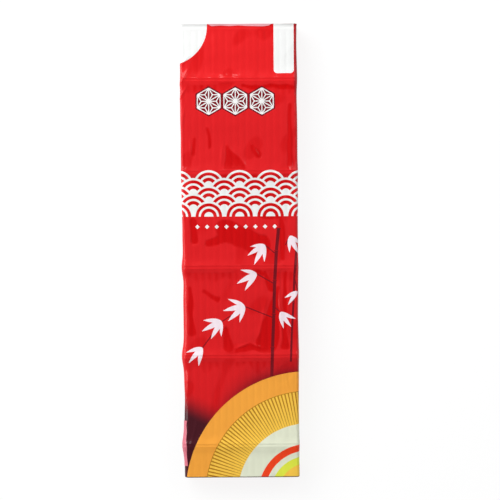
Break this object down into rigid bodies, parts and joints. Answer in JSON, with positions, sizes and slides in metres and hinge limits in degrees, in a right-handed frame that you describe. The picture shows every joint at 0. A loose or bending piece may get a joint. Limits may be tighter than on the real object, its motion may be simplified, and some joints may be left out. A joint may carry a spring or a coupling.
{
  "type": "sushi rolling mat",
  "caption": "Bamboo sushi rolling mat of slats woven with cotton twine, folded in layers inside a printed film sleeve that slides off so that the mat unfolds.",
  "frame": {"origin": "centre of the sleeve's flat back, on the surface that the pack lies on", "axes": "+Z out of the printed front, +Y along the slats towards the sleeve's open mouth, +X to the right as the print is read"},
  "size_m": [0.0628, 0.244, 0.0154],
  "materials": {
    "bamboo": "planed, unvarnished",
    "cotton_twine": "plied cotton",
    "printed_film": "gloss, printed on the inside",
    "back_film": "gloss, plain colour"
  },
  "bodies": {
    "fold_1": {"fold_1_slats": "bamboo", "fold_1_twine_1": "cotton_twine", "fold_1_twine_2": "cotton_twine", "fold_1_twine_3": "cotton_twine", "fold_1_twine_4": "cotton_twine", "fold_1_twine_5": "cotton_twine", "fold_1_knots": "cotton_twine"},
    "edge_1": {"edge_1_slats": "bamboo", "edge_1_twine_1": "cotton_twine", "edge_1_twine_2": "cotton_twine", "edge_1_twine_3": "cotton_twine", "edge_1_twine_4": "cotton_twine", "edge_1_twine_5": "cotton_twine"},
    "fold_2": {"fold_2_slats": "bamboo", "fold_2_twine_1": "cotton_twine", "fold_2_twine_2": "cotton_twine", "fold_2_twine_3": "cotton_twine", "fold_2_twine_4": "cotton_twine", "fold_2_twine_5": "cotton_twine"},
    "edge_2": {"edge_2_slats": "bamboo", "edge_2_twine_1": "cotton_twine", "edge_2_twine_2": "cotton_twine", "edge_2_twine_3": "cotton_twine", "edge_2_twine_4": "cotton_twine", "edge_2_twine_5": "cotton_twine"},
    "fold_3": {"fold_3_slats": "bamboo", "fold_3_twine_1": "cotton_twine", "fold_3_twine_2": "cotton_twine", "fold_3_twine_3": "cotton_twine", "fold_3_twine_4": "cotton_twine", "fold_3_twine_5": "cotton_twine"},
    "edge_3": {"edge_3_slats": "bamboo", "edge_3_twine_1": "cotton_twine", "edge_3_twine_2": "cotton_twine", "edge_3_twine_3": "cotton_twine", "edge_3_twine_4": "cotton_twine", "edge_3_twine_5": "cotton_twine"},
    "fold_4": {"fold_4_slats": "bamboo", "fold_4_twine_1": "cotton_twine", "fold_4_twine_2": "cotton_twine", "fold_4_twine_3": "cotton_twine", "fold_4_twine_4": "cotton_twine", "fold_4_twine_5": "cotton_twine", "fold_4_knots": "cotton_twine"},
    "sleeve": {"film_front": "printed_film", "film_back": "back_film"}
  },
  "joints": [
    {"name": "sleeve_slide", "type": "slide", "parent": "fold_1", "child": "sleeve", "axis": [0, -1, 0], "range_m": [0, 0.245]},
    {"name": "unfold", "type": "hinge", "parent": "fold_1", "child": "edge_1", "pos_m": [0.0292, 0, 0.0023], "axis": [0, 1, 0], "range_deg": [0, 90], "deforming": ["film_front"]},
    {"name": "fold_line_2", "type": "hinge", "parent": "edge_1", "child": "fold_2", "pos_m": [0.0292, 0, 0.00595], "axis": [0, 1, 0], "range_deg": [0, 90]},
    {"name": "fold_line_3", "type": "hinge", "parent": "fold_2", "child": "edge_2", "pos_m": [-0.0292, 0, 0.00595], "axis": [0, 1, 0], "range_deg": [-90, 0]},
    {"name": "fold_line_4", "type": "hinge", "parent": "edge_2", "child": "fold_3", "pos_m": [-0.0292, 0, 0.0096], "axis": [0, 1, 0], "range_deg": [-90, 0]},
    {"name": "fold_line_5", "type": "hinge", "parent": "fold_3", "child": "edge_3", "pos_m": [0.0292, 0, 0.0096], "axis": [0, 1, 0], "range_deg": [0, 90]},
    {"name": "fold_line_6", "type": "hinge", "parent": "edge_3", "child": "fold_4", "pos_m": [0.0292, 0, 0.01325], "axis": [0, 1, 0], "range_deg": [0, 90]}
  ],
  "couplings": [
    {"joint": "fold_line_2", "follows": "unfold", "ratio": 1},
    {"joint": "fold_line_3", "follows": "unfold", "ratio": -1},
    {"joint": "fold_line_4", "follows": "unfold", "ratio": -1},
    {"joint": "fold_line_5", "follows": "unfold", "ratio": 1},
    {"joint": "fold_line_6", "follows": "unfold", "ratio": 1}
  ]
}
